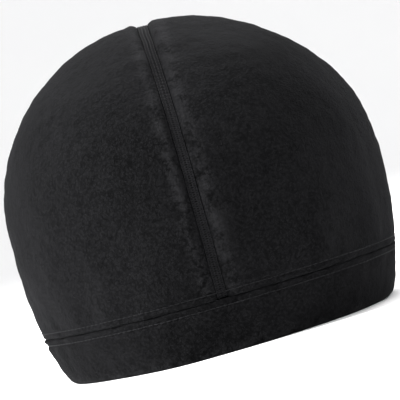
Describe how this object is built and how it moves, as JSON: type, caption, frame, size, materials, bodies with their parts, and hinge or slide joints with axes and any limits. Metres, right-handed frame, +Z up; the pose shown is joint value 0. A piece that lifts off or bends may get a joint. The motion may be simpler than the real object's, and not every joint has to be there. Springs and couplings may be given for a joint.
{
  "type": "winter cap",
  "caption": "Close-fitting fleece skull cap of gores with flat sunken seams that cross at the crown, over a doubled hem band, hollow and open below.",
  "frame": {"origin": "on the plane that the rim rests on, in the middle of the fullest section's box", "axes": "+Z up to the crown, -Y to the front, -X to the left as seen from the front"},
  "size_m": [0.1906, 0.212, 0.1633],
  "materials": {
    "fleece": "brushed black fleece with a short matt nap",
    "hem_fleece": "the same black fleece, doubled and pressed, with a flatter nap",
    "seam_thread": "black polyester sewing thread over pressed fleece, faintly satin"
  },
  "bodies": {
    "root": {"gore_back_right": "fleece", "gore_back_left": "fleece", "gore_front_left": "fleece", "gore_front_right": "fleece", "crown_seam": "seam_thread", "side_seam_left": "seam_thread", "side_seam_right": "seam_thread", "hem_band": "hem_fleece"}
  },
  "joints": []
}
